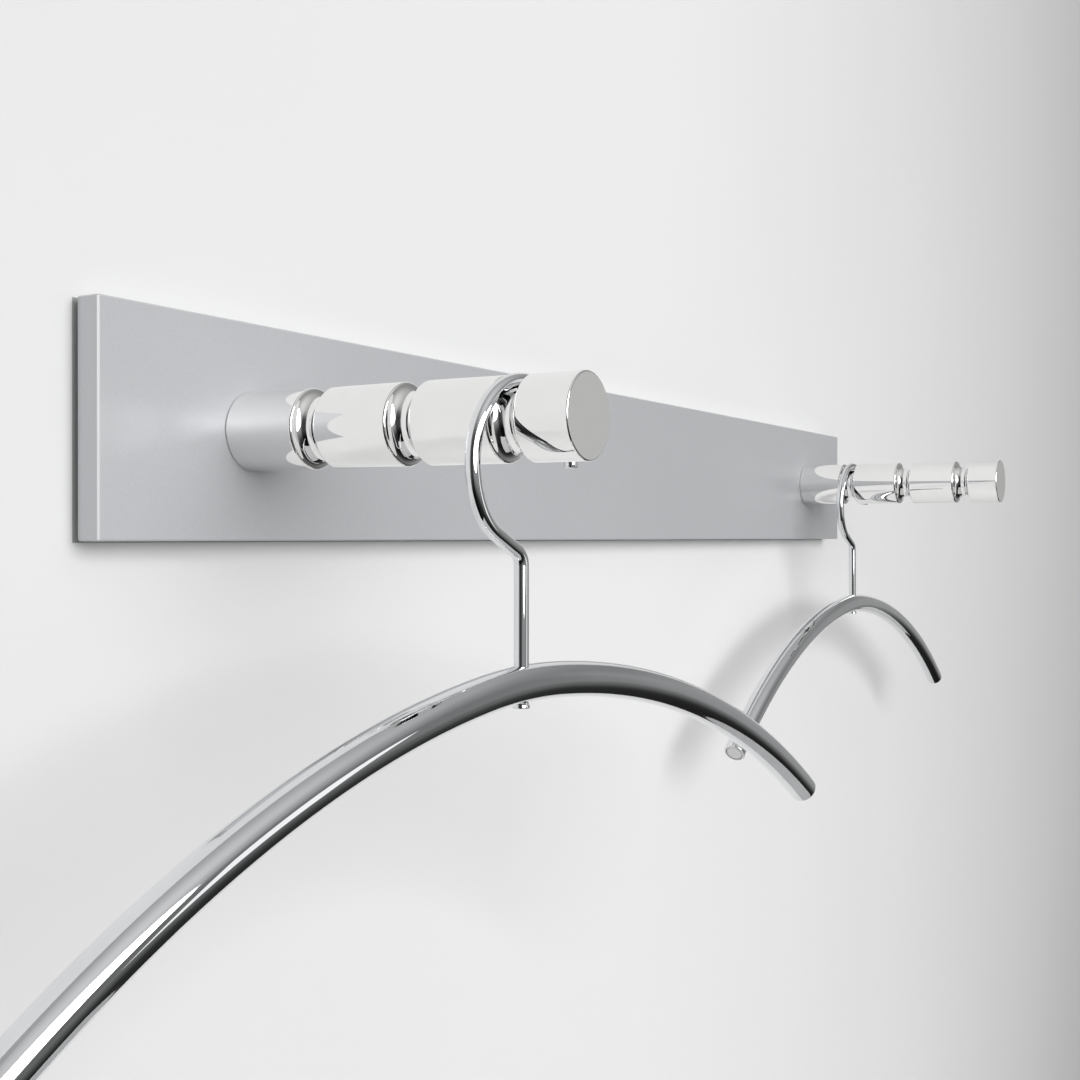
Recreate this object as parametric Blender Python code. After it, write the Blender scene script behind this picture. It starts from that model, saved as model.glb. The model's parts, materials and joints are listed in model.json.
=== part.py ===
# Wall coat rack: a flat board on keyhole plates, two turned pegs and two hangers that hang in their grooves.
# Metres, +Z up. +X runs right along the wall, +Y into the wall, and the wall plane is y = 0.
# The origin lies on the wall plane behind the middle of the board.

import math

import bmesh
import bpy
from mathutils import Matrix, Vector

# Gap between pieces that rest on each other
SEAT_GAP = 0.0003

# Board
BOARD_LENGTH = 0.753
BOARD_HEIGHT = 0.080
BOARD_THICKNESS = 0.010
BOARD_EDGE_CHAMFER = 0.0006

# Keyhole plates behind the board, which hold it off the wall
PLATE_END_INSET = 0.1465
PLATE_WIDTH = 0.028
PLATE_HEIGHT = 0.060
PLATE_THICKNESS = 0.0025
PLATE_CORNER_RADIUS = 0.006
KEYHOLE_ENTRY_RADIUS = 0.005
KEYHOLE_SLOT_RADIUS = 0.0026
KEYHOLE_TRAVEL = 0.011
POCKET_MARGIN = 0.002
POCKET_DEPTH = 0.004

# Countersunk screws that hold a plate to the board
PLATE_SCREW_SPACING = 0.046
PLATE_SCREW_RADIUS = 0.0020
PLATE_SCREW_HEAD_RADIUS = 0.0038
PLATE_SCREW_LENGTH = 0.0085
PLATE_SCREW_RECESS_ARM = 0.0021
PLATE_SCREW_RECESS_HALF_WIDTH = 0.0005
PLATE_SCREW_RECESS_DEPTH = 0.0012
PLATE_SCREW_END_ROOM = 0.001

# Countersunk screws that hold the pegs, from behind the board
PEG_SCREW_RADIUS = 0.0040
PEG_SCREW_HEAD_RADIUS = 0.0078
PEG_SCREW_LENGTH = 0.034
PEG_SCREW_SOCKET_RADIUS = 0.0029
PEG_SCREW_SOCKET_DEPTH = 0.0030
PEG_SCREW_END_ROOM = 0.002

# A 90 degree countersink with a small cylindrical rim at its wide end
COUNTERSINK_RIM = 0.0003

# Pegs, set in from the board's ends and measured from its front
PEG_END_INSET = 0.0735
PEG_RADIUS = 0.01455
PEG_REACH = 0.140
PEG_TIP_ROUND = 0.0009
PEG_BASE_CHAMFER = 0.0003

# Hanger wire, and the grooves that it hangs in
WIRE_RADIUS = 0.0025
GROOVE_SIDE_PLAY = 0.0023
GROOVE_LIP_RADIUS = 0.0010
GROOVE_DEPTH = 0.0048
GROOVE_COUNT = 3
GROOVE_FIRST = 0.0348
GROOVE_PITCH = 0.0402

# Hook, bent from the wire: a crown arc, a tighter heel arc, a straight slope and an elbow into the stem
HOOK_CROWN_RADIUS = 0.028
HOOK_CROWN_OFFSET = 0.0011
HOOK_TIP_ANGLE = math.radians(89)
HOOK_CROWN_ANGLE = math.radians(122.4)
HOOK_HEEL_RADIUS = 0.0204
HOOK_HEEL_ANGLE = math.radians(31.5)
HOOK_ELBOW_RADIUS = 0.0055
HOOK_STEM_OFFSET = 0.0004
HOOK_TIP_CHAMFER = 0.0004
STEM_HEAD_RADIUS = 0.0029
STEM_HEAD_LENGTH = 0.0012
STEM_HEAD_ROUND = 0.0005

# Bow, a tube bent tighter at its crown than along its arms, with a plug flush in each end
BOW_DROP = 0.0867
BOW_LENGTH = 0.478
BOW_CROWN_RADIUS = 0.2346
BOW_CROWN_HALF_ANGLE = 0.09
BOW_ARM_RADIUS = 0.4026
TUBE_RADIUS = 0.0062
TUBE_WALL = 0.0012
TUBE_RIM_ROUND = 0.0009
PLUG_LENGTH = 0.006
PLUG_CHAMFER = 0.0004

# Where each hanger hangs and how it rests: groove counted from the board, the hook's lean in its own
# plane, its turn about the vertical, and the bow's tilt on the stem
HANGERS = {
    "left": {"groove": 3, "lean": math.radians(-0.1), "turn": math.radians(-4.25), "tilt": math.radians(2.5)},
    "right": {"groove": 1, "lean": math.radians(0.9), "turn": math.radians(-0.6), "tilt": 0.0},
}
SIDES = {"left": -1, "right": 1}

# Facets
PEG_SIDES = 32
WIRE_SIDES = 12
TUBE_SIDES = 16
SCREW_SIDES = 16
GROOVE_LIP_STEPS = 2
GROOVE_FLOOR_STEPS = 8
ROUND_STEPS = 3
BEND_STEP = math.radians(10)
BOW_CROWN_STEPS = 4
BOW_ARM_STEPS = 8
SMOOTH_ANGLE = math.radians(35)

# Spacings along the board
PLATE_SPACING = BOARD_LENGTH - 2 * PLATE_END_INSET
PEG_SPACING = BOARD_LENGTH - 2 * PEG_END_INSET

# Planes along y, worked out from the wall outward
PLATE_FRONT = -PLATE_THICKNESS
BOARD_BACK = PLATE_FRONT - SEAT_GAP
BOARD_FRONT = BOARD_BACK - BOARD_THICKNESS
PEG_BASE = BOARD_FRONT - SEAT_GAP
PEG_LENGTH = PEG_REACH - SEAT_GAP
GROOVE_RADIUS = WIRE_RADIUS + GROOVE_SIDE_PLAY
GROOVE_FLOOR_RADIUS = PEG_RADIUS - GROOVE_DEPTH
STEM_HOLE_RADIUS = WIRE_RADIUS + SEAT_GAP
TUBE_BORE_RADIUS = TUBE_RADIUS - TUBE_WALL
BOW_CROWN_RUN = BOW_CROWN_RADIUS * BOW_CROWN_HALF_ANGLE
BOW_HALF_LENGTH = BOW_LENGTH / 2

# Base colour, metallic value and roughness of each finish
FINISHES = {
    "board_silver": ((0.60, 0.61, 0.63, 1.0), 0.3, 0.45),
    "peg_chrome": ((0.90, 0.90, 0.89, 1.0), 1.0, 0.05),
    "hanger_chrome": ((0.88, 0.89, 0.90, 1.0), 1.0, 0.05),
    "plug_chrome": ((0.66, 0.66, 0.66, 1.0), 1.0, 0.30),
    "plate_zinc": ((0.58, 0.59, 0.60, 1.0), 1.0, 0.40),
    "screw_steel": ((0.45, 0.45, 0.46, 1.0), 1.0, 0.35),
}


def clear_scene():
    for item in list(bpy.data.objects):
        bpy.data.objects.remove(item, do_unlink=True)


def finish_material(name):
    colour, metallic, roughness = FINISHES[name]
    material = bpy.data.materials.new(name)
    material.use_nodes = True
    shader = material.node_tree.nodes["Principled BSDF"]
    shader.inputs["Base Color"].default_value = colour
    shader.inputs["Metallic"].default_value = metallic
    shader.inputs["Roughness"].default_value = roughness
    material.diffuse_color = colour
    return material


def place_object(name, data, material=None, parent=None):
    item = bpy.data.objects.new(name, data)
    bpy.context.scene.collection.objects.link(item)
    if material:
        data.materials.append(material)
    item.parent = parent
    return item


def mesh_from(bm, name):
    bmesh.ops.recalc_face_normals(bm, faces=bm.faces)
    mesh = bpy.data.meshes.new(name)
    bm.to_mesh(mesh)
    bm.free()
    mesh.shade_smooth()
    mesh.set_sharp_from_angle(angle=SMOOTH_ANGLE)
    return mesh


def cut(item, cutter_bm):
    cutter = place_object(item.name + "_cutter", mesh_from(cutter_bm, item.name + "_cutter"))
    cutter.hide_render = True
    cutter.display_type = "WIRE"
    cutter.parent = item
    modifier = item.modifiers.new("cut", "BOOLEAN")
    modifier.operation = "DIFFERENCE"
    modifier.solver = "EXACT"
    modifier.object = cutter


# Points (x, y) of an arc, both ends included
def arc_points(centre, radius, start, end, steps):
    angles = [start + (end - start) * i / steps for i in range(steps + 1)]
    return [(centre[0] + radius * math.cos(a), centre[1] + radius * math.sin(a)) for a in angles]


# Turns a profile of (radius, distance along the axis) about +Y, closed where it meets the axis
def add_turned(bm, profile, sides, centre=(0, 0, 0)):
    cx, cy, cz = centre
    verts = [bm.verts.new((cx + radius, cy + along, cz)) for radius, along in profile]
    edges = [bm.edges.new(pair) for pair in zip(verts, verts[1:])]
    bmesh.ops.spin(
        bm, geom=verts + edges, cent=centre, axis=(0, 1, 0), angle=math.tau, steps=sides, use_merge=True)
    on_axis = [v for v in bm.verts if math.hypot(v.co.x - cx, v.co.z - cz) < SEAT_GAP / 10]
    bmesh.ops.remove_doubles(bm, verts=on_axis, dist=SEAT_GAP / 10)


# Extrudes an outline of (x, z) points along y
def add_prism(bm, outline, y_from, y_to):
    face = bm.faces.new([bm.verts.new((x, y_from, z)) for x, z in outline])
    grown = bmesh.ops.extrude_face_region(bm, geom=[face])["geom"]
    moved = [v for v in grown if isinstance(v, bmesh.types.BMVert)]
    bmesh.ops.translate(bm, verts=moved, vec=(0, y_to - y_from, 0))


# Profile of a countersunk screw, its head flat at 0 and its shank towards negative y
def screw_profile(head_radius, radius, length, grow=0.0):
    rim = COUNTERSINK_RIM + grow * (math.sqrt(2) - 1)
    cone = head_radius - radius
    return [
        (0, 0),
        (head_radius + grow, 0),
        (head_radius + grow, -rim),
        (radius + grow, -rim - cone),
        (radius + grow, -length),
        (0, -length),
    ]


# The same profile as a hole, open past the face that the head lies in
def screw_hole_profile(head_radius, radius, depth, open_past):
    profile = screw_profile(head_radius, radius, depth, grow=SEAT_GAP)
    return [(0, open_past), (profile[1][0], open_past)] + profile[2:]


# Rounded rectangle in (x, z)
def rounded_rectangle(width, height, radius, steps):
    points = []
    for quarter, (sx, sz) in enumerate(((1, 1), (-1, 1), (-1, -1), (1, -1))):
        centre = (sx * (width / 2 - radius), sz * (height / 2 - radius))
        points += arc_points(centre, radius, quarter * math.pi / 2, (quarter + 1) * math.pi / 2, steps)
    return points


# Keyhole in (x, z): a round entry with a narrower slot that runs up from it, centred on its travel
def keyhole_outline(entry_radius, slot_radius, steps):
    low = -KEYHOLE_TRAVEL / 2
    high = KEYHOLE_TRAVEL / 2
    half = math.acos(min(1.0, slot_radius / entry_radius))
    entry = arc_points((0, low), entry_radius, math.pi - half, math.tau + half, 4 * steps)
    return entry + arc_points((0, high), slot_radius, 0, math.pi, 2 * steps)


def add_board(material):
    bm = bmesh.new()
    bmesh.ops.create_cube(bm, size=1)
    bmesh.ops.scale(bm, verts=bm.verts, vec=(BOARD_LENGTH, BOARD_THICKNESS, BOARD_HEIGHT))
    bmesh.ops.bevel(bm, geom=bm.edges[:], offset=BOARD_EDGE_CHAMFER, segments=1, affect="EDGES")
    board = place_object("back_board", mesh_from(bm, "back_board"), material)
    board.location.y = (BOARD_BACK + BOARD_FRONT) / 2
    back = BOARD_THICKNESS / 2
    open_past = SEAT_GAP + PLATE_THICKNESS
    through = BOARD_THICKNESS + open_past
    pocket_radius = KEYHOLE_ENTRY_RADIUS + POCKET_MARGIN
    pilot_radius = PLATE_SCREW_RADIUS + SEAT_GAP
    pilot_depth = PLATE_SCREW_LENGTH - PLATE_THICKNESS - SEAT_GAP + PLATE_SCREW_END_ROOM
    pilot = [(0, open_past), (pilot_radius, open_past), (pilot_radius, -pilot_depth), (0, -pilot_depth)]
    holes = bmesh.new()
    for side in SIDES.values():
        peg_hole = screw_hole_profile(PEG_SCREW_HEAD_RADIUS, PEG_SCREW_RADIUS, through, open_past)
        add_turned(holes, peg_hole, SCREW_SIDES, (side * PEG_SPACING / 2, back, 0))
        plate_x = side * PLATE_SPACING / 2
        pocket = [(plate_x + x, z) for x, z in keyhole_outline(pocket_radius, pocket_radius, ROUND_STEPS)]
        add_prism(holes, pocket, back - POCKET_DEPTH, back + open_past)
        for end in (-1, 1):
            add_turned(holes, pilot, SCREW_SIDES, (plate_x, back, end * PLATE_SCREW_SPACING / 2))
    cut(board, holes)


# A groove as (radius, distance along the peg): a round lip that runs into a round floor, and the lip again
def groove_profile(middle):
    lip_centre = PEG_RADIUS - GROOVE_LIP_RADIUS
    floor_centre = GROOVE_FLOOR_RADIUS + GROOVE_RADIUS
    reach = GROOVE_RADIUS + GROOVE_LIP_RADIUS
    half_width = math.sqrt(reach ** 2 - (floor_centre - lip_centre) ** 2)
    turn = math.acos((floor_centre - lip_centre) / reach)
    first_lip = arc_points((lip_centre, middle - half_width), GROOVE_LIP_RADIUS, 0, turn, GROOVE_LIP_STEPS)
    floor = arc_points(
        (floor_centre, middle), GROOVE_RADIUS, math.pi + turn, math.pi - turn, GROOVE_FLOOR_STEPS)
    last_lip = arc_points((lip_centre, middle + half_width), GROOVE_LIP_RADIUS, -turn, 0, GROOVE_LIP_STEPS)
    return first_lip + floor[1:-1] + last_lip


# A turned peg, its base at 0 and its tip towards positive distance
def peg_profile():
    bore_radius = PEG_SCREW_RADIUS + SEAT_GAP
    bore_depth = PEG_SCREW_LENGTH - BOARD_THICKNESS - SEAT_GAP + PEG_SCREW_END_ROOM
    profile = [(0, bore_depth), (bore_radius, bore_depth), (bore_radius, 0)]
    profile += [(PEG_RADIUS - PEG_BASE_CHAMFER, 0), (PEG_RADIUS, PEG_BASE_CHAMFER)]
    for i in range(GROOVE_COUNT):
        profile += groove_profile(GROOVE_FIRST - SEAT_GAP + i * GROOVE_PITCH)
    tip_centre = (PEG_RADIUS - PEG_TIP_ROUND, PEG_LENGTH - PEG_TIP_ROUND)
    profile += arc_points(tip_centre, PEG_TIP_ROUND, 0, math.pi / 2, ROUND_STEPS)
    return profile + [(0, PEG_LENGTH)]


def add_peg(side, material):
    bm = bmesh.new()
    add_turned(bm, [(radius, -along) for radius, along in peg_profile()], PEG_SIDES)
    peg = place_object("peg_" + side, mesh_from(bm, "peg_" + side), material)
    peg.location = (SIDES[side] * PEG_SPACING / 2, PEG_BASE, 0)


def add_peg_screw(side, material):
    bm = bmesh.new()
    profile = screw_profile(PEG_SCREW_HEAD_RADIUS, PEG_SCREW_RADIUS, PEG_SCREW_LENGTH)
    add_turned(bm, profile, SCREW_SIDES)
    screw = place_object("peg_screw_" + side, mesh_from(bm, "peg_screw_" + side), material)
    screw.location = (SIDES[side] * PEG_SPACING / 2, BOARD_BACK, 0)
    socket = bmesh.new()
    hexagon = arc_points((0, 0), PEG_SCREW_SOCKET_RADIUS, 0, math.tau, 6)[:-1]
    add_prism(socket, hexagon, -PEG_SCREW_SOCKET_DEPTH, PEG_SCREW_SOCKET_DEPTH)
    cut(screw, socket)


def add_plate(side, material):
    bm = bmesh.new()
    outline = rounded_rectangle(PLATE_WIDTH, PLATE_HEIGHT, PLATE_CORNER_RADIUS, ROUND_STEPS)
    add_prism(bm, outline, -PLATE_THICKNESS, 0)
    plate = place_object("hanger_plate_" + side, mesh_from(bm, "hanger_plate_" + side), material)
    plate.location.x = SIDES[side] * PLATE_SPACING / 2
    holes = bmesh.new()
    through = PLATE_THICKNESS * 2
    keyhole = keyhole_outline(KEYHOLE_ENTRY_RADIUS, KEYHOLE_SLOT_RADIUS, ROUND_STEPS)
    add_prism(holes, keyhole, -through, through)
    screw_hole = screw_hole_profile(PLATE_SCREW_HEAD_RADIUS, PLATE_SCREW_RADIUS, through, through)
    for end in (-1, 1):
        add_turned(holes, screw_hole, SCREW_SIDES, (0, 0, end * PLATE_SCREW_SPACING / 2))
    cut(plate, holes)


def add_plate_screw(side, end, name, material):
    bm = bmesh.new()
    add_turned(
        bm, screw_profile(PLATE_SCREW_HEAD_RADIUS, PLATE_SCREW_RADIUS, PLATE_SCREW_LENGTH), SCREW_SIDES)
    screw = place_object(name, mesh_from(bm, name), material)
    screw.location = (SIDES[side] * PLATE_SPACING / 2, 0, end * PLATE_SCREW_SPACING / 2)
    recess = bmesh.new()
    arm = PLATE_SCREW_RECESS_ARM
    half = PLATE_SCREW_RECESS_HALF_WIDTH
    cross = []
    for quarter in range(4):
        spin = Matrix.Rotation(quarter * math.pi / 2, 2)
        cross += [tuple(spin @ Vector(point)) for point in ((arm, -half), (arm, half), (half, half))]
    add_prism(recess, cross, -PLATE_SCREW_RECESS_DEPTH, PLATE_SCREW_RECESS_DEPTH)
    cut(screw, recess)


# Walks along the bent wire from one end, as (x, z) points and the heading after each bend
class WirePath:
    def __init__(self, start, heading):
        self.points = [start]
        self.heading = heading

    # A positive angle bends to the left of the heading
    def bend(self, radius, angle):
        x, z = self.points[-1]
        sign = math.copysign(1, angle)
        steps = max(2, math.ceil(abs(angle) / BEND_STEP))
        for i in range(1, steps + 1):
            turned = self.heading + angle * i / steps
            self.points.append((
                x + sign * radius * (math.sin(turned) - math.sin(self.heading)),
                z + sign * radius * (math.cos(self.heading) - math.cos(turned)),
            ))
        self.heading += angle

    def straight(self, length):
        x, z = self.points[-1]
        self.points.append((x + length * math.cos(self.heading), z + length * math.sin(self.heading)))


# The hook's centre line in its own plane, with the groove's axis at the origin
def hook_path():
    hang = HOOK_CROWN_RADIUS - WIRE_RADIUS - SEAT_GAP - GROOVE_FLOOR_RADIUS
    centre_z = -math.sqrt(hang ** 2 - HOOK_CROWN_OFFSET ** 2)
    tip_turn = math.pi / 2 - HOOK_TIP_ANGLE
    tip_x = HOOK_CROWN_OFFSET + HOOK_CROWN_RADIUS * math.cos(tip_turn)
    tip_z = centre_z + HOOK_CROWN_RADIUS * math.sin(tip_turn)
    path = WirePath((tip_x, tip_z), tip_turn + math.pi / 2)
    path.bend(HOOK_CROWN_RADIUS, HOOK_TIP_ANGLE)
    path.bend(HOOK_CROWN_RADIUS, HOOK_CROWN_ANGLE)
    path.bend(HOOK_HEEL_RADIUS, HOOK_HEEL_ANGLE)
    elbow = path.heading - math.radians(270)
    elbow_shift = HOOK_ELBOW_RADIUS * (1 - math.cos(elbow))
    slope_run = -HOOK_STEM_OFFSET - elbow_shift - path.points[-1][0]
    path.straight(slope_run / math.cos(path.heading))
    path.bend(HOOK_ELBOW_RADIUS, -elbow)
    return path


def add_hook(side, parent, material):
    name = "hook_" + side
    path = hook_path()
    (tip_x, tip_z), (next_x, next_z) = path.points[:2]
    inward = Vector((next_x - tip_x, next_z - tip_z)).normalized() * HOOK_TIP_CHAMFER
    stem_x = path.points[-1][0]
    head_room = STEM_HEAD_RADIUS * abs(math.tan(HANGERS[side]["tilt"]))
    head_top = -BOW_DROP - TUBE_RADIUS - SEAT_GAP - head_room
    head_end = head_top - STEM_HEAD_LENGTH
    stations = [(tip_x, tip_z, WIRE_RADIUS - HOOK_TIP_CHAMFER)]
    stations += [(tip_x + inward.x, tip_z + inward.y, WIRE_RADIUS)]
    stations += [(x, z, WIRE_RADIUS) for x, z in path.points[1:]]
    stations += [(stem_x, head_top, WIRE_RADIUS), (stem_x, head_top - SEAT_GAP / 3, STEM_HEAD_RADIUS)]
    edge = arc_points(
        (STEM_HEAD_RADIUS - STEM_HEAD_ROUND, head_end + STEM_HEAD_ROUND), STEM_HEAD_ROUND, 0, -math.pi / 2,
        ROUND_STEPS)
    stations += [(stem_x, z, radius) for radius, z in edge]
    curve = bpy.data.curves.new(name, "CURVE")
    curve.dimensions = "3D"
    curve.bevel_depth = WIRE_RADIUS
    curve.bevel_resolution = (WIRE_SIDES - 4) // 2
    curve.use_fill_caps = True
    spline = curve.splines.new("POLY")
    spline.points.add(len(stations) - 1)
    for point, (x, z, radius) in zip(spline.points, stations):
        point.co = (x, 0, z, 1)
        point.radius = radius / WIRE_RADIUS
    spline.use_smooth = True
    return place_object(name, curve, material, parent)


# A point of the bow's centre line at a signed distance from its middle, as x, z and the angle below level
def bow_point(along):
    run = abs(along)
    crown = min(run, BOW_CROWN_RUN) / BOW_CROWN_RADIUS
    angle = crown + max(0.0, run - BOW_CROWN_RUN) / BOW_ARM_RADIUS
    x = BOW_CROWN_RADIUS * math.sin(crown) + BOW_ARM_RADIUS * (math.sin(angle) - math.sin(crown))
    z = BOW_CROWN_RADIUS * (math.cos(crown) - 1) + BOW_ARM_RADIUS * (math.cos(angle) - math.cos(crown))
    side = math.copysign(1, along)
    return side * x, z, side * angle


# Distances along the bow, from one rounded rim to the other
def bow_stations():
    last = BOW_HALF_LENGTH - TUBE_RIM_ROUND
    arm = [BOW_CROWN_RUN + (last - BOW_CROWN_RUN) * i / BOW_ARM_STEPS for i in range(1, BOW_ARM_STEPS + 1)]
    crown = [BOW_CROWN_RUN * (2 * i / BOW_CROWN_STEPS - 1) for i in range(BOW_CROWN_STEPS + 1)]
    return [-along for along in reversed(arm)] + crown + arm


# The tube, with its middle at the origin: rings along the outside, then back along the bore
def add_bow(side, parent, material):
    name = "bow_" + side
    tilt = HANGERS[side]["tilt"]
    stations = bow_stations()
    rim_radius = TUBE_RADIUS - TUBE_RIM_ROUND
    rim = arc_points((stations[-1], rim_radius), TUBE_RIM_ROUND, math.pi / 2, 0, ROUND_STEPS)
    outside = [(-along, radius) for along, radius in reversed(rim)]
    outside += [(along, TUBE_RADIUS) for along in stations[1:-1]] + rim
    way_back = [BOW_HALF_LENGTH] + stations[-2:0:-1] + [-BOW_HALF_LENGTH]
    inside = [(along, TUBE_BORE_RADIUS) for along in way_back]
    bm = bmesh.new()
    rings = []
    for along, radius in outside + inside:
        x, z, angle = bow_point(along)
        across = Vector((math.sin(angle), 0, math.cos(angle)))
        ring = []
        for i in range(TUBE_SIDES):
            a = math.tau * i / TUBE_SIDES
            spoke = across * math.cos(a) + Vector((0, math.sin(a), 0))
            ring.append(bm.verts.new(Vector((x, 0, z)) + spoke * radius))
        rings.append(ring)
    for first, second in zip(rings, rings[1:] + rings[:1]):
        for i in range(TUBE_SIDES):
            bm.faces.new((first[i - 1], first[i], second[i], second[i - 1]))
    bow = place_object(name, mesh_from(bm, name), material, parent)
    bow.location = (-HOOK_STEM_OFFSET, 0, -BOW_DROP)
    bow.rotation_euler = (0, -tilt, 0)
    # The hole runs along the stem, which the bow tilts on
    hole = bmesh.new()
    reach = TUBE_RADIUS * 2
    outline = arc_points((0, 0), STEM_HOLE_RADIUS, 0, math.tau, WIRE_SIDES)[:-1]
    add_prism(hole, outline, -reach, reach)
    along_stem = Matrix.Rotation(tilt, 3, "Y") @ Matrix.Rotation(math.pi / 2, 3, "X")
    bmesh.ops.rotate(hole, verts=hole.verts, matrix=along_stem)
    cut(bow, hole)
    return bow


# A plug, turned about the tube's end: its face flush with the rim and its body in the bore
def plug_profile():
    radius = TUBE_BORE_RADIUS - SEAT_GAP
    return [
        (0, 0),
        (radius - PLUG_CHAMFER, 0),
        (radius, -PLUG_CHAMFER),
        (radius, -PLUG_LENGTH + PLUG_CHAMFER),
        (radius - PLUG_CHAMFER, -PLUG_LENGTH),
        (0, -PLUG_LENGTH),
    ]


def add_plug(name, end, bow, material):
    bm = bmesh.new()
    add_turned(bm, plug_profile(), TUBE_SIDES)
    # The turning axis +Y goes to the tube's outward direction +X
    bmesh.ops.rotate(bm, verts=bm.verts, matrix=Matrix.Rotation(-math.pi / 2, 3, "Z"))
    plug = place_object(name, mesh_from(bm, name), material, bow)
    x, z, angle = bow_point(end * BOW_HALF_LENGTH)
    plug.location = (x, 0, z)
    if end > 0:
        plug.rotation_euler = (0, angle, 0)
    else:
        plug.rotation_euler = (0, math.pi + angle, 0)


def add_hanger(side, materials):
    rest = HANGERS[side]
    seat = bpy.data.objects.new("hanger_seat_" + side, None)
    bpy.context.scene.collection.objects.link(seat)
    groove_y = BOARD_FRONT - GROOVE_FIRST - (rest["groove"] - 1) * GROOVE_PITCH
    seat.location = (SIDES[side] * PEG_SPACING / 2, groove_y, 0)
    seat.rotation_euler = (0, -rest["lean"], rest["turn"])
    hook = add_hook(side, seat, materials["hanger_chrome"])
    bow = add_bow(side, hook, materials["hanger_chrome"])
    for end_name, end in SIDES.items():
        add_plug("bow_" + side + "_plug_" + end_name, end, bow, materials["plug_chrome"])


def main():
    clear_scene()
    materials = {name: finish_material(name) for name in FINISHES}
    add_board(materials["board_silver"])
    for side in SIDES:
        add_peg(side, materials["peg_chrome"])
        add_peg_screw(side, materials["screw_steel"])
        add_plate(side, materials["plate_zinc"])
        for end_name, end in (("upper", 1), ("lower", -1)):
            add_plate_screw(side, end, "plate_screw_" + side + "_" + end_name, materials["screw_steel"])
        add_hanger(side, materials)


main()
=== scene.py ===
import json
import math

import bmesh
import bpy
from mathutils import Matrix, Vector


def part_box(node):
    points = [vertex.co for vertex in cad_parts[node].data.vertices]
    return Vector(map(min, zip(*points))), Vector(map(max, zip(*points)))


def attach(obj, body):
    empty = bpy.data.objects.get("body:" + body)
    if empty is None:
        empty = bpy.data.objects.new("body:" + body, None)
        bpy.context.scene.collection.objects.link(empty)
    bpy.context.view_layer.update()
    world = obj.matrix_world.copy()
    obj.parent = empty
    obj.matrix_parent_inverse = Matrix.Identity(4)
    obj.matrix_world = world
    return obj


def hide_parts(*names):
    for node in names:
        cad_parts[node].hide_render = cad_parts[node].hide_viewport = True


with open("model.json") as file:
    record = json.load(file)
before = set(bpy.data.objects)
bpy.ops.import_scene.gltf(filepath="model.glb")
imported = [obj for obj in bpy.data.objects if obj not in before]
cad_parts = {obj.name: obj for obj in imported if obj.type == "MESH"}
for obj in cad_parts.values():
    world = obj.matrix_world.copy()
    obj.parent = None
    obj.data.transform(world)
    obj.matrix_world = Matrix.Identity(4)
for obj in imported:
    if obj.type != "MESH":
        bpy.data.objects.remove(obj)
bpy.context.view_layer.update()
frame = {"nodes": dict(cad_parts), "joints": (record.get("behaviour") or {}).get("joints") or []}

nodes = frame["nodes"]
joints = {joint["name"]: joint for joint in frame["joints"]}
sides = ("left", "right")
scene = bpy.context.scene
scene.view_settings.view_transform = "Standard"


# node helpers

def startMaterial(name):
    material = bpy.data.materials.new(name)
    material.use_nodes = True
    tree = material.node_tree
    return material, tree, tree.nodes["Principled BSDF"]


def addNode(tree, kind, **values):
    node = tree.nodes.new(kind)
    for key, value in values.items():
        if key in node.inputs:
            node.inputs[key].default_value = value
        else:
            setattr(node, key, value)
    return node


def mathOf(tree, operation, *values, clamp=False):  # each value is a socket or a plain number
    node = addNode(tree, "ShaderNodeMath", operation=operation, use_clamp=clamp)
    for socket, value in zip(node.inputs, values):
        if isinstance(value, bpy.types.NodeSocket):
            tree.links.new(value, socket)
        else:
            socket.default_value = value
    return node.outputs[0]


def noiseAt(tree, vector, scale, detail, roughness=0.5):
    noise = addNode(tree, "ShaderNodeTexNoise", Scale=scale, Detail=detail, Roughness=roughness)
    tree.links.new(vector, noise.inputs["Vector"])
    return noise.outputs["Fac"]


def rampOf(tree, fac, stops):  # a stop's colour may be a single grey
    ramp = tree.nodes.new("ShaderNodeValToRGB")
    elements = ramp.color_ramp.elements
    while len(elements) < len(stops):
        elements.new(0.5)
    for element, (position, colour) in zip(elements, stops):
        element.position = position
        element.color = (*colour, 1.0) if isinstance(colour, tuple) else (colour, colour, colour, 1.0)
    tree.links.new(fac, ramp.inputs["Fac"])
    return ramp.outputs["Color"]


def spanOf(tree, fac, low, high, fromLow=0.0, fromHigh=1.0):  # spreads one range to another
    ends = {"From Min": fromLow, "From Max": fromHigh, "To Min": low, "To Max": high}
    node = addNode(tree, "ShaderNodeMapRange", **ends)
    tree.links.new(fac, node.inputs["Value"])
    return node.outputs["Result"]


def blendOf(tree, fac, first, second):
    mix = tree.nodes.new("ShaderNodeMixRGB")
    for name, value in (("Fac", fac), ("Color1", first), ("Color2", second)):
        tree.links.new(value, mix.inputs[name])
    return mix.outputs["Color"]


def bumpOf(tree, height, strength, distance):
    bump = addNode(tree, "ShaderNodeBump", Strength=strength, Distance=distance)
    tree.links.new(height, bump.inputs["Height"])
    return bump.outputs["Normal"]


def objectPoint(tree):
    return tree.nodes.new("ShaderNodeTexCoord").outputs["Object"]


def splitOf(tree, vector):
    split = tree.nodes.new("ShaderNodeSeparateXYZ")
    tree.links.new(vector, split.inputs[0])
    return split.outputs


# finishes: the grain of each kind of surface, then the tints that use it

def dress(tree, shader, grain, tint, colourFac, roughFac):
    stops = ((grain["darkAt"], tint["dark"]), (grain["paleAt"], tint["pale"]))
    tree.links.new(rampOf(tree, colourFac, stops), shader.inputs["Base Color"])
    tree.links.new(spanOf(tree, roughFac, tint["roughLow"], tint["roughHigh"]), shader.inputs["Roughness"])
    shader.inputs["Metallic"].default_value = tint["metallic"]


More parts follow.
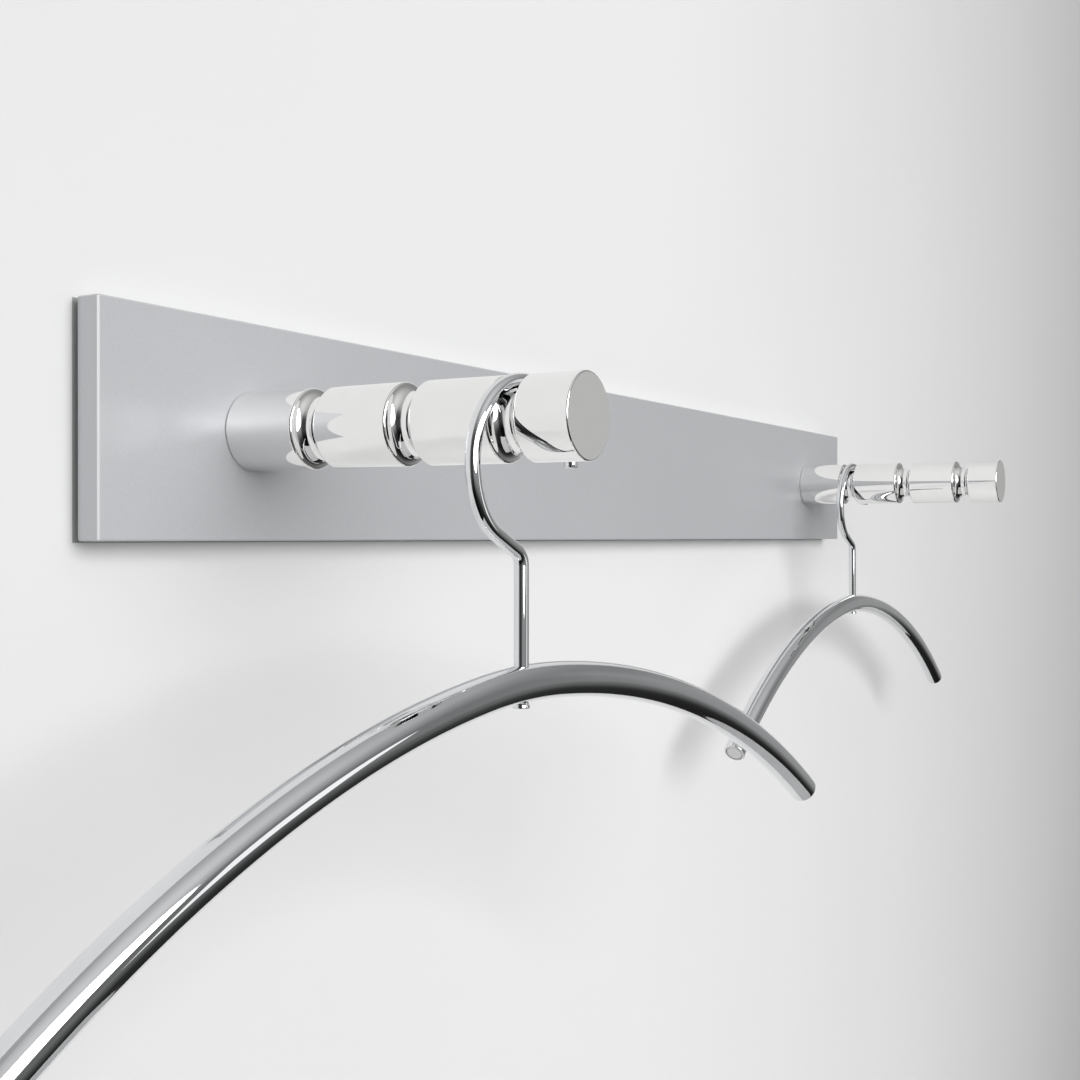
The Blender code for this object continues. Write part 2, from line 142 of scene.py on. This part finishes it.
# satin silver tints; the edge colour is a painted highlight for the slanting end edges
silver = {"dark": (0.527, 0.539, 0.560), "pale": (0.604, 0.614, 0.633), "darkAt": 0.35, "paleAt": 0.95,
          "edge": (0.70, 0.71, 0.72), "edgeFrom": 0.2, "edgeTo": 0.4, "flakeScale": 2600.0,
          "flakeDetail": 1.0, "cloudScale": 9.0, "cloudDetail": 3.0, "cloudShare": 0.35, "roughLow": 0.33,
          "roughHigh": 0.44, "metallic": 0.25, "grainBump": 0.05, "grainDepth": 0.0001}


def silverPaint():  # satin silver with a fine metal flake
    material, tree, shader = startMaterial("boardSilver")
    point = objectPoint(tree)
    flake = noiseAt(tree, point, silver["flakeScale"], silver["flakeDetail"])
    cloud = noiseAt(tree, point, silver["cloudScale"], silver["cloudDetail"])
    blend = mathOf(tree, "MULTIPLY_ADD", cloud, silver["cloudShare"], flake)
    colour = rampOf(tree, blend, ((silver["darkAt"], silver["dark"]), (silver["paleAt"], silver["pale"])))
    # painted highlight: the slanting edges at the two ends get a paler colour that stands in for the bright
    # line of light they catch
    slant = splitOf(tree, tree.nodes.new("ShaderNodeTexCoord").outputs["Normal"])
    highlightMask = mathOf(tree, "ABSOLUTE", mathOf(tree, "MULTIPLY", slant["X"], slant["Y"]))
    edge = addNode(tree, "ShaderNodeMixRGB", Color2=(*silver["edge"], 1.0))
    tree.links.new(spanOf(tree, highlightMask, 0.0, 1.0, silver["edgeFrom"], silver["edgeTo"]), edge.inputs["Fac"])
    tree.links.new(colour, edge.inputs["Color1"])
    tree.links.new(edge.outputs["Color"], shader.inputs["Base Color"])
    tree.links.new(spanOf(tree, flake, silver["roughLow"], silver["roughHigh"]), shader.inputs["Roughness"])
    tree.links.new(bumpOf(tree, flake, silver["grainBump"], silver["grainDepth"]), shader.inputs["Normal"])
    shader.inputs["Metallic"].default_value = silver["metallic"]
    return material


chrome = {"hazeScale": 38.0, "hazeDetail": 4.0, "hazeRoughness": 0.6, "fineScale": 1140.0, "fineDetail": 2.0,
          "darkAt": 0.3, "paleAt": 0.7}
pegChrome = {"dark": (0.895, 0.892, 0.885), "pale": (0.935, 0.932, 0.925), "roughLow": 0.015,
             "roughHigh": 0.045, "metallic": 1.0}
hangerChrome = {"dark": (0.745, 0.756, 0.768), "pale": (0.795, 0.806, 0.818), "roughLow": 0.02,
                "roughHigh": 0.05, "metallic": 1.0}


def polish(name, tint):  # bright plating with a faint polishing haze
    material, tree, shader = startMaterial(name)
    point = objectPoint(tree)
    haze = noiseAt(tree, point, chrome["hazeScale"], chrome["hazeDetail"], chrome["hazeRoughness"])
    fine = noiseAt(tree, point, chrome["fineScale"], chrome["fineDetail"])
    dress(tree, shader, chrome, tint, haze, fine)
    return material


satin = {"speckleScale": 1500.0, "speckleDetail": 2.0, "darkAt": 0.25, "paleAt": 0.75, "ringDepth": 0.00002}
pegEnd = {"dark": (0.50, 0.50, 0.49), "pale": (0.58, 0.58, 0.57), "roughLow": 0.30, "roughHigh": 0.42,
          "metallic": 0.3, "ringPitch": 0.00045, "ringBump": 0.35}
plugFace = {"dark": (0.62, 0.62, 0.62), "pale": (0.72, 0.72, 0.72), "roughLow": 0.25, "roughHigh": 0.36,
            "metallic": 0.6, "ringPitch": 0.0005, "ringBump": 0.25}


def turnedSatin(name, tint):  # fine rings about the object's y axis
    material, tree, shader = startMaterial(name)
    point = objectPoint(tree)
    flat = addNode(tree, "ShaderNodeVectorMath", operation="MULTIPLY")
    flat.inputs[1].default_value = (1.0, 0.0, 1.0)
    tree.links.new(point, flat.inputs[0])
    reach = addNode(tree, "ShaderNodeVectorMath", operation="LENGTH")
    tree.links.new(flat.outputs[0], reach.inputs[0])
    turns = mathOf(tree, "MULTIPLY", reach.outputs["Value"], math.tau / tint["ringPitch"])
    wave = mathOf(tree, "SINE", turns)
    speckle = noiseAt(tree, point, satin["speckleScale"], satin["speckleDetail"])
    dress(tree, shader, satin, tint, speckle, speckle)
    tree.links.new(bumpOf(tree, wave, tint["ringBump"], satin["ringDepth"]), shader.inputs["Normal"])
    return material


zinc = {"mottleScale": 420.0, "fineScale": 900.0, "fineDetail": 3.0, "darkAt": 0.1, "paleAt": 0.9,
        "bump": 0.12, "bumpDepth": 0.0001}
plateZinc = {"dark": (0.50, 0.51, 0.53), "pale": (0.66, 0.67, 0.68), "roughLow": 0.30, "roughHigh": 0.46,
             "metallic": 1.0}
screwSteel = {"dark": (0.38, 0.38, 0.39), "pale": (0.52, 0.52, 0.52), "roughLow": 0.26, "roughHigh": 0.40,
              "metallic": 1.0}


def zincCoat(name, tint):  # plated steel with a small crystalline mottle
    material, tree, shader = startMaterial(name)
    point = objectPoint(tree)
    mottle = addNode(tree, "ShaderNodeTexVoronoi", Scale=zinc["mottleScale"])
    tree.links.new(point, mottle.inputs["Vector"])
    fine = noiseAt(tree, point, zinc["fineScale"], zinc["fineDetail"])
    dress(tree, shader, zinc, tint, mottle.outputs["Distance"], fine)
    tree.links.new(bumpOf(tree, fine, zinc["bump"], zinc["bumpDepth"]), shader.inputs["Normal"])
    return material


finishes = {
    "boardSilver": silverPaint(),
    "pegChrome": polish("pegChrome", pegChrome),
    "pegEnd": turnedSatin("pegEnd", pegEnd),
    "hangerChrome": polish("hangerChrome", hangerChrome),
    "plugFace": turnedSatin("plugFace", plugFace),
    "plateZinc": zincCoat("plateZinc", plateZinc),
    "screwSteel": zincCoat("screwSteel", screwSteel),
}
print("finishes made:", len(finishes))


# mesh helpers

making = {"sharpAngle": 32.0, "axisReach": 1e-5, "faceReach": 1e-6, "innerRing": 0.5}


def placePiece(name, bm, finishNames, body, matrix):
    bmesh.ops.recalc_face_normals(bm, faces=bm.faces)
    mesh = bpy.data.meshes.new(name)
    bm.to_mesh(mesh)
    bm.free()
    mesh.shade_smooth()
    mesh.set_sharp_from_angle(angle=math.radians(making["sharpAngle"]))
    for finishName in finishNames:
        mesh.materials.append(finishes[finishName])
    piece = bpy.data.objects.new(name, mesh)
    scene.collection.objects.link(piece)
    seat = Matrix.Translation(matrix.to_translation())
    mesh.transform(seat.inverted() @ matrix)  # the turn goes into the mesh, so that boxes stay tight
    piece.matrix_world = seat
    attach(piece, body)
    return piece


def arcPoints(centre, radius, start, end, steps):
    angles = [start + (end - start) * i / steps for i in range(steps + 1)]
    return [(centre[0] + radius * math.cos(a), centre[1] + radius * math.sin(a)) for a in angles]


def turnProfile(bm, profile, count):  # (radius, distance) about local y, closed on the axis
    verts = [bm.verts.new((radius, along, 0.0)) for radius, along in profile]
    edges = [bm.edges.new(pair) for pair in zip(verts, verts[1:])]
    bmesh.ops.spin(bm, geom=verts + edges, cent=(0, 0, 0), axis=(0, 1, 0), angle=math.tau, steps=count,
                   use_merge=True)
    onAxis = [v for v in bm.verts if math.hypot(v.co.x, v.co.z) < making["axisReach"]]
    bmesh.ops.remove_doubles(bm, verts=onAxis, dist=making["axisReach"])


def sweepRings(bm, stations, count):  # stations are (x, z, heading, radius) in the x-z plane
    rings = []
    for x, z, heading, radius in stations:
        across = Vector((-math.sin(heading), 0.0, math.cos(heading)))
        ring = []
        for i in range(count):
            a = math.tau * i / count
            ring.append(bm.verts.new(Vector((x, 0, z)) + across * (radius * math.cos(a))
                                     + Vector((0, radius * math.sin(a), 0))))
        rings.append(ring)
    for first, second in zip(rings, rings[1:]):
        for i in range(count):
            j = (i + 1) % count
            bm.faces.new((first[i], first[j], second[j], second[i]))
    return rings


# pegs

peg = {"firstGroove": 0.0348, "pitch": 0.0402, "grooves": 3, "depth": 0.0048, "floorRadius": 0.0048,
       "lipRadius": 0.0010, "tipRound": 0.0006, "baseChamfer": 0.0005, "boreRadius": 0.0043,
       "boreDepth": 0.0257, "turnSteps": 112, "lipSteps": 6, "floorSteps": 26, "tipSteps": 6,
       "holdRing": 0.00006}
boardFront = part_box("back_board")[0].y


def grooveProfile(radius, middle):
    lip, lipSteps = peg["lipRadius"], peg["lipSteps"]
    lipCentre = radius - lip
    floorCentre = radius - peg["depth"] + peg["floorRadius"]
    reach = lip + peg["floorRadius"]
    half = math.sqrt(reach ** 2 - (floorCentre - lipCentre) ** 2)
    turn = math.acos((floorCentre - lipCentre) / reach)
    first = arcPoints((lipCentre, middle - half), lip, 0, turn, lipSteps)
    hollow = arcPoints((floorCentre, middle), peg["floorRadius"], math.pi + turn, math.pi - turn,
                       peg["floorSteps"])
    last = arcPoints((lipCentre, middle + half), lip, -turn, 0, lipSteps)
    hold = peg["holdRing"]  # a close ring on the straight run keeps its shading straight
    return [(radius, middle - half - hold)] + first + hollow[1:-1] + last + [(radius, middle + half + hold)]


def makePeg(side):
    low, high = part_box("peg_" + side)
    radius = (high.x - low.x) / 2
    length = boardFront - low.y
    chamfer, rounding, hold = peg["baseChamfer"], peg["tipRound"], peg["holdRing"]
    profile = [(0, peg["boreDepth"]), (peg["boreRadius"], peg["boreDepth"]), (peg["boreRadius"], 0)]
    profile += [(radius - chamfer, 0), (radius, chamfer), (radius, chamfer + hold)]
    for i in range(peg["grooves"]):
        profile += grooveProfile(radius, peg["firstGroove"] + i * peg["pitch"])
    profile += [(radius, length - rounding - hold)]
    profile += arcPoints((radius - rounding, length - rounding), rounding, 0, math.pi / 2, peg["tipSteps"])
    profile += [(radius - rounding - hold, length), (radius * making["innerRing"], length), (0, length)]
    bm = bmesh.new()
    turnProfile(bm, [(r, -along) for r, along in profile], peg["turnSteps"])
    for face in bm.faces:
        if face.calc_center_median().y < -length + making["faceReach"]:
            face.material_index = 1
    place = Matrix.Translation(((low.x + high.x) / 2, boardFront, 0))
    piece = placePiece("turnedPeg_" + side, bm, ("pegChrome", "pegEnd"), "rack", place)
    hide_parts("peg_" + side)


for side in sides:
    makePeg(side)
print("pegs turned")


# hangers, with how each one hangs at rest in degrees

rest = {"left": {"lean": -0.1, "turn": -4.25, "tilt": 2.5}, "right": {"lean": 0.9, "turn": -0.6, "tilt": 0.0}}
hook = {"wire": 0.0025, "crownRadius": 0.028, "crownOffset": 0.0011, "floorRadius": 0.00975, "play": 0.0003,
        "tipAngle": 89.0, "crownAngle": 122.4, "heelRadius": 0.0204, "heelAngle": 31.5, "elbowRadius": 0.0055,
        "stemOffset": 0.0004, "tipRound": 0.0005, "headRadius": 0.0029, "headLength": 0.0012,
        "headRound": 0.0005, "neckStep": 0.0002, "neckFall": 0.00002, "bendStep": 3.0, "fewestBends": 4,
        "runSteps": 6, "stemSteps": 10, "tipSteps": 4, "headSteps": 5, "ringSteps": 32}
bow = {"drop": 0.0867, "length": 0.4774, "crownRadius": 0.2346, "crownHalfAngle": 0.09, "armRadius": 0.4026,
       "tube": 0.0062, "wall": 0.0012, "rimRound": 0.0005, "plugLength": 0.006, "plugChamfer": 0.0002,
       "steps": 180, "rimSteps": 8, "ringSteps": 64, "plugSteps": 48}


def hookPlace(side):  # turned about its seat in the groove
    seat = Matrix.Translation(Vector(joints["hook_%s_swing" % side]["pos_m"]))
    turn, lean = math.radians(rest[side]["turn"]), math.radians(rest[side]["lean"])
    return seat @ Matrix.Rotation(turn, 4, "Z") @ Matrix.Rotation(-lean, 4, "Y")


def bowPlace(side):  # tilted on the hook's stem
    middle = Matrix.Translation((-hook["stemOffset"], 0, -bow["drop"]))
    return hookPlace(side) @ middle @ Matrix.Rotation(-math.radians(rest[side]["tilt"]), 4, "Y")


class BentWire:  # walks along the wire and keeps (x, z, heading)
    def __init__(self, x, z, heading):
        self.line = [(x, z, heading)]

    def bend(self, radius, angle):
        x, z, heading = self.line[-1]
        sign = math.copysign(1, angle)
        steps = max(hook["fewestBends"], math.ceil(abs(angle) / math.radians(hook["bendStep"])))
        for i in range(1, steps + 1):
            turned = heading + angle * i / steps
            self.line.append((x + sign * radius * (math.sin(turned) - math.sin(heading)),
                              z + sign * radius * (math.cos(heading) - math.cos(turned)), turned))

    def straight(self, length, steps):
        x, z, heading = self.line[-1]
        for i in range(1, steps + 1):
            run = length * i / steps
            self.line.append((x + run * math.cos(heading), z + run * math.sin(heading), heading))


def hookLine(side):  # from the tip over the crown and down to the head under the bow
    radius = hook["crownRadius"]
    hang = radius - hook["wire"] - hook["play"] - hook["floorRadius"]
    centre = -math.sqrt(hang ** 2 - hook["crownOffset"] ** 2)
    start = math.radians(90 - hook["tipAngle"])
    wire = BentWire(hook["crownOffset"] + radius * math.cos(start), centre + radius * math.sin(start),
                    start + math.pi / 2)
    wire.bend(radius, math.radians(hook["tipAngle"] + hook["crownAngle"]))
    wire.bend(hook["heelRadius"], math.radians(hook["heelAngle"]))
    x, z, heading = wire.line[-1]
    elbow = heading - math.radians(270)  # 270 degrees is straight down
    shift = hook["elbowRadius"] * (1 - math.cos(elbow))
    wire.straight((-hook["stemOffset"] - shift - x) / math.cos(heading), hook["runSteps"])
    wire.bend(hook["elbowRadius"], -elbow)
    slack = hook["play"] + hook["headRadius"] * math.tan(math.radians(rest[side]["tilt"]))
    headTop = -bow["drop"] - bow["tube"] - slack
    wire.straight(wire.line[-1][1] - headTop, hook["stemSteps"])
    return wire.line


def makeHook(side):
    line = hookLine(side)
    rounding = hook["tipRound"]
    x, z, heading = line[0]
    stations = []
    for radius, back in arcPoints((hook["wire"] - rounding, rounding), rounding, -math.pi / 2, 0,
                                  hook["tipSteps"]):
        stations.append((x + back * math.cos(heading), z + back * math.sin(heading), heading, radius))
    stations += [(x, z, heading, hook["wire"]) for x, z, heading in line[1:]]
    x, z, heading = line[-1]
    rounding, step, fall = hook["headRound"], hook["neckStep"], hook["neckFall"]
    head = [(hook["wire"] + step, fall), (hook["headRadius"] - step, 2 * fall)]
    head += arcPoints((hook["headRadius"] - rounding, hook["headLength"] - rounding), rounding, 0,
                      math.pi / 2, hook["headSteps"])
    stations += [(x, z - down, heading, radius) for radius, down in head]
    bm = bmesh.new()
    rings = sweepRings(bm, stations, hook["ringSteps"])
    for ring in (rings[0], rings[-1]):
        bm.faces.new(ring)
    piece = placePiece("bentHook_" + side, bm, ("hangerChrome",), "hook_" + side,
                       hookPlace(side))
    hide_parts("hook_" + side)


def bowPoint(along):  # x, z and heading at a signed distance from the bow's middle
    crownRun = bow["crownRadius"] * bow["crownHalfAngle"]
    run, sign = abs(along), math.copysign(1, along)
    first = min(run, crownRun) / bow["crownRadius"]
    angle = first + max(0.0, run - crownRun) / bow["armRadius"]
    x = bow["crownRadius"] * math.sin(first) + bow["armRadius"] * (math.sin(angle) - math.sin(first))
    z = bow["crownRadius"] * (math.cos(first) - 1) + bow["armRadius"] * (math.cos(angle) - math.cos(first))
    return sign * x, z, -sign * angle


def makeBow(side):
    half, rounding, bore = bow["length"] / 2, bow["rimRound"], bow["tube"] - bow["wall"]
    last, sideCount = half - rounding, bow["ringSteps"]
    rim = [(half - bow["plugLength"], bore), (half, bore)]
    rim += arcPoints((last, bow["tube"] - rounding), rounding, 0, math.pi / 2, bow["rimSteps"])
    profile = [(-along, radius) for along, radius in rim]
    profile += [(last * (2 * i / bow["steps"] - 1), bow["tube"]) for i in range(1, bow["steps"])]
    profile += rim[::-1]
    bm = bmesh.new()
    rings = sweepRings(bm, [(*bowPoint(along), radius) for along, radius in profile], sideCount)
    bm.faces.ensure_lookup_table()
    for pair in (1, len(rings) - 3):  # the flat rim at each end is satin like its plug
        for face in bm.faces[pair * sideCount:(pair + 1) * sideCount]:
            face.material_index = 1
    for ring in (rings[0], rings[-1]):  # the bore is closed behind each plug
        bm.faces.new(ring)
    piece = placePiece("bentBow_" + side, bm, ("hangerChrome", "plugFace"), "bow_" + side,
                       bowPlace(side))
    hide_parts("bow_" + side)


def makePlug(side, endName, end):
    radius, chamfer = bow["tube"] - bow["wall"] - hook["play"], bow["plugChamfer"]
    back = -bow["plugLength"] + 2 * hook["play"]
    profile = [(0, back), (radius, back), (radius, -chamfer), (radius - chamfer, 0)]
    profile += [(radius * making["innerRing"], 0), (0, 0)]
    bm = bmesh.new()
    turnProfile(bm, profile, bow["plugSteps"])
    x, z, heading = bowPoint(end * bow["length"] / 2)
    outward = heading if end > 0 else math.pi + heading
    place = bowPlace(side) @ Matrix.Translation((x, 0, z)) @ Matrix.Rotation(-outward, 4, "Y")
    place = place @ Matrix.Rotation(-math.pi / 2, 4, "Z")  # the turning axis points outward
    piece = placePiece("endPlug_%s_%s" % (side, endName), bm, ("plugFace",), "bow_" + side,
                       place)
    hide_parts("bow_%s_plug_%s" % (side, endName))


for side in sides:
    makeHook(side)
    makeBow(side)
    for endName, end in (("left", -1), ("right", 1)):
        makePlug(side, endName, end)
print("hangers bent")


# carried-over solids take their finishes

carried = {"back_board": "boardSilver"}
carried.update({name: "plateZinc" for name in nodes if name.startswith("hanger_plate")})
carried.update({name: "screwSteel" for name in nodes if "screw" in name})
for name, finishName in carried.items():
    nodes[name].data.materials.clear()
    nodes[name].data.materials.append(finishes[finishName])
print("carried over:", len(carried), "solids")


# wall and floor

backdrop = {"toneScale": 3.0, "toneDetail": 3.0, "toneDim": 0.985, "dimAt": 0.3, "fullAt": 0.7,
            "leftFrom": -0.45, "leftTo": 0.05, "roughness": 0.9, "specular": 0.2, "closeReach": 0.006}


# the back is clear to the eye, and bounced rays from up close pass, so that light reaches the rack's back
def backdropPaint(name, colour, paintedLeftShade=1.0):  # the last argument darkens the colour towards the left: painted shade
    material, tree, shader = startMaterial(name)
    point = objectPoint(tree)
    tone = noiseAt(tree, point, backdrop["toneScale"], backdrop["toneDetail"])
    dim = tuple(c * backdrop["toneDim"] for c in colour)
    leftShadeScale = addNode(tree, "ShaderNodeVectorMath", operation="SCALE")
    stops = ((backdrop["dimAt"], dim), (backdrop["fullAt"], colour))
    tree.links.new(rampOf(tree, tone, stops), leftShadeScale.inputs[0])
    # painted shade: the colour darkens towards the left end of the sheet
    along = splitOf(tree, point)["X"]
    tree.links.new(spanOf(tree, along, paintedLeftShade, 1.0, backdrop["leftFrom"], backdrop["leftTo"]),
                   leftShadeScale.inputs["Scale"])
    tree.links.new(leftShadeScale.outputs[0], shader.inputs["Base Color"])
    shader.inputs["Roughness"].default_value = backdrop["roughness"]
    shader.inputs["Specular IOR Level"].default_value = backdrop["specular"]
    path = tree.nodes.new("ShaderNodeLightPath").outputs
    backfacing = tree.nodes.new("ShaderNodeNewGeometry").outputs["Backfacing"]
    close = mathOf(tree, "LESS_THAN", path["Ray Length"], backdrop["closeReach"])
    bounced = mathOf(tree, "ADD", path["Is Diffuse Ray"], path["Is Glossy Ray"])
    mix = tree.nodes.new("ShaderNodeMixShader")
    tree.links.new(mathOf(tree, "MULTIPLY_ADD", close, bounced, backfacing, clamp=True), mix.inputs["Fac"])
    tree.links.new(shader.outputs[0], mix.inputs[1])
    tree.links.new(tree.nodes.new("ShaderNodeBsdfTransparent").outputs[0], mix.inputs[2])
    tree.links.new(mix.outputs[0], tree.nodes["Material Output"].inputs["Surface"])
    return material


def plainSheet(name, corners, material):
    mesh = bpy.data.meshes.new(name)
    mesh.from_pydata(corners, [], [(0, 1, 2, 3)])
    mesh.materials.append(material)
    sheet = bpy.data.objects.new(name, mesh)
    scene.collection.objects.link(sheet)
    return sheet


def upright(left, right, low, high, y):
    return [(left, y, low), (right, y, low), (right, y, high), (left, y, high)]


def level(left, right, front, back, z):
    return [(left, front, z), (right, front, z), (right, back, z), (left, back, z)]


# the wall's paint darkens towards the left as painted shade
wall = {"colour": (0.86, 0.86, 0.86), "paintedLeftShade": 0.91, "left": -0.95, "right": 2.4, "high": 1.8,
        "gap": 0.0004}
floor = {"colour": (0.70, 0.70, 0.69), "low": -1.15, "reach": 3.5, "front": -1.9}
shade = {"colour": (0.36, 0.36, 0.36), "inset": 0.0008, "drop": 0.0005}
card = {"colour": (0.55, 0.55, 0.55), "bounce": (0.80, 0.80, 0.79), "lift": 0.004, "half": 0.8, "front": -1.0,
        "sideAt": 1.35, "sideFront": -0.3, "sideLow": -0.95, "sideHigh": -0.42}


def makeRoom():
    low, back = floor["low"], wall["gap"]
    wallPaint = backdropPaint("wallPaint", wall["colour"], wall["paintedLeftShade"])
    floorPaint = backdropPaint("floorPaint", floor["colour"])
    paleWall = plainSheet("paleWall", upright(wall["left"], wall["right"], low, wall["high"], back),
                          wallPaint)
    paleWall.visible_shadow = False
    paleFloor = plainSheet("paleFloor", level(-floor["reach"], floor["reach"], floor["front"], back, low),
                           floorPaint)
    paleFloor.visible_glossy = False
    paleFloor.visible_diffuse = False

    # a darker sheet for the wall behind the board, where no light comes
    shadePaint = backdropPaint("shadePaint", shade["colour"])
    start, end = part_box("back_board")
    corners = upright(start.x + shade["inset"], end.x, start.z - shade["drop"], end.z, back / 2)
    shadedWall = plainSheet("shadedWall", corners, shadePaint)
    shadedWall.visible_shadow = False

    # sheets on the floor and to the right that only the chrome sees, and one that only throws light back
    onFloor = level(-card["half"], card["half"], card["front"], back, low + card["lift"])
    at, front, foot, top = card["sideAt"], card["sideFront"], card["sideLow"], card["sideHigh"]
    onRight = [(at, 0.0, foot), (at, front, foot), (at, front, top), (at, 0.0, top)]
    cardPaint = backdropPaint("cardPaint", card["colour"])
    bouncePaint = backdropPaint("bouncePaint", card["bounce"])
    for name, paint, corners, mirrored in (("floorCard", cardPaint, onFloor, True),
                                           ("sideCard", bouncePaint, onRight, True),
                                           ("bounceCard", bouncePaint, onFloor, False)):
        sheet = plainSheet(name, corners, paint)
        sheet.visible_camera = False
        sheet.visible_glossy = mirrored
        sheet.visible_diffuse = not mirrored
        sheet.visible_shadow = False


# light: the room's greys by height (0 straight down, 1 straight up)
# and, near eye level, by heading from left to right

studio = {
    "upperTone": ((0.67, 0.24), (0.72, 0.25), (0.78, 0.30), (0.835, 0.38), (0.88, 0.41), (0.94, 0.43),
                  (1.0, 0.42)),
    "eyeTone": ((0.0, 0.04), (0.15, 0.05), (0.20, 0.20), (0.25, 0.30), (0.56, 0.30), (0.585, 0.14),
                (0.64, 0.18), (0.79, 0.225), (0.83, 0.31), (1.0, 0.36)),
    "leftTone": ((0.67, 0.05), (0.75, 0.08), (0.81, 0.15), (0.88, 0.32), (0.94, 0.42)),
    "lowFade": ((0.165, 0.05), (0.24, 0.09), (0.28, 0.20), (0.325, 0.43), (0.378, 0.68), (0.43, 1.0)),
    "upperFrom": 0.60, "upperTo": 0.70, "leftFrom": 0.17, "leftTo": 0.25, "plain": (0.86, 0.86, 0.86, 1.0),
}
glow = {"heading": 268.0, "height": 42.0, "strength": 0.33, "spread": 6.0}


def makeWorld():
    world = bpy.data.worlds.new("studioRoom")
    scene.world = world
    world.use_nodes = True
    tree = world.node_tree
    sky = tree.nodes["Background"]
    direction = tree.nodes.new("ShaderNodeTexCoord").outputs["Generated"]
    split = splitOf(tree, direction)
    height = spanOf(tree, split["Z"], 0.0, 1.0, -1.0, 1.0)
    heading = spanOf(tree, mathOf(tree, "ARCTAN2", split["Y"], split["X"]), 0.0, 1.0, -math.pi, 0.0)

    # a paler patch of ceiling above the key light
    a, b = math.radians(glow["heading"]), math.radians(glow["height"])
    aim = addNode(tree, "ShaderNodeVectorMath", operation="DOT_PRODUCT")
    tree.links.new(direction, aim.inputs[0])
    aim.inputs[1].default_value = (math.cos(a) * math.cos(b), math.sin(a) * math.cos(b), math.sin(b))
    facing = mathOf(tree, "MAXIMUM", aim.outputs["Value"], 0.0)
    lobe = mathOf(tree, "POWER", facing, glow["spread"])
    upper = mathOf(tree, "MULTIPLY_ADD", lobe, glow["strength"], rampOf(tree, height, studio["upperTone"]))

    lift = spanOf(tree, height, 0.0, 1.0, studio["upperFrom"], studio["upperTo"])
    leftward = spanOf(tree, heading, 1.0, 0.0, studio["leftFrom"], studio["leftTo"])
    tone = blendOf(tree, lift, rampOf(tree, heading, studio["eyeTone"]), upper)
    tone = blendOf(tree, leftward, tone, rampOf(tree, height, studio["leftTone"]))
    fade = addNode(tree, "ShaderNodeVectorMath", operation="MULTIPLY")
    tree.links.new(tone, fade.inputs[0])
    tree.links.new(rampOf(tree, height, studio["lowFade"]), fade.inputs[1])
    tree.links.new(fade.outputs[0], sky.inputs["Color"])

    # the eye sees a plain pale colour in its place
    plain = addNode(tree, "ShaderNodeBackground", Color=studio["plain"])
    mix = tree.nodes.new("ShaderNodeMixShader")
    tree.links.new(tree.nodes.new("ShaderNodeLightPath").outputs["Is Camera Ray"], mix.inputs["Fac"])
    tree.links.new(sky.outputs[0], mix.inputs[1])
    tree.links.new(plain.outputs[0], mix.inputs[2])
    tree.links.new(mix.outputs[0], tree.nodes["World Output"].inputs["Surface"])


keyBox = {"place": (-1.04, -2.70, 0.73), "target": (-0.30, -0.13, -0.09), "width": 3.36, "height": 1.98,
          "roll": 5.0, "power": 79.0, "shape": "ELLIPSE"}
sideBox = {"place": (0.58, -1.59, -0.12), "target": (-0.45, -0.12, -0.12), "width": 0.50, "height": 0.54,
           "roll": 0.0, "power": 0.8, "shape": "RECTANGLE"}


def softbox(name, box):
    lamp = bpy.data.lights.new(name, "AREA")
    lamp.shape = box["shape"]
    lamp.size, lamp.size_y = box["width"], box["height"]
    lamp.energy = box["power"]
    item = bpy.data.objects.new(name, lamp)
    item.location = box["place"]
    aim = (Vector(box["target"]) - Vector(box["place"])).to_track_quat("-Z", "Y").to_matrix()
    item.rotation_euler = (aim @ Matrix.Rotation(math.radians(box["roll"]), 3, "Z")).to_euler()
    scene.collection.objects.link(item)


makeRoom()
makeWorld()
softbox("keyBox", keyBox)
softbox("sideBox", sideBox)
print("wall, floor and light set")


# camera at the photograph's viewpoint

view = {"place": (-0.6987, -0.3627, -0.03865), "yaw": 29.954, "pitch": -0.113, "lens": 46.956, "sensor": 36.0,
        "clipStart": 0.01}


def makeCamera():
    camera = bpy.data.cameras.new("viewCamera")
    camera.sensor_width = view["sensor"]
    camera.lens = view["lens"]
    camera.clip_start = view["clipStart"]
    item = bpy.data.objects.new("viewCamera", camera)
    item.location = view["place"]
    yaw, pitch = math.radians(view["yaw"]), math.radians(view["pitch"])
    ahead = Vector((math.cos(yaw) * math.cos(pitch), math.sin(yaw) * math.cos(pitch), math.sin(pitch)))
    item.rotation_euler = ahead.to_track_quat("-Z", "Y").to_euler()
    scene.collection.objects.link(item)
    scene.camera = item


makeCamera()
print("camera set")
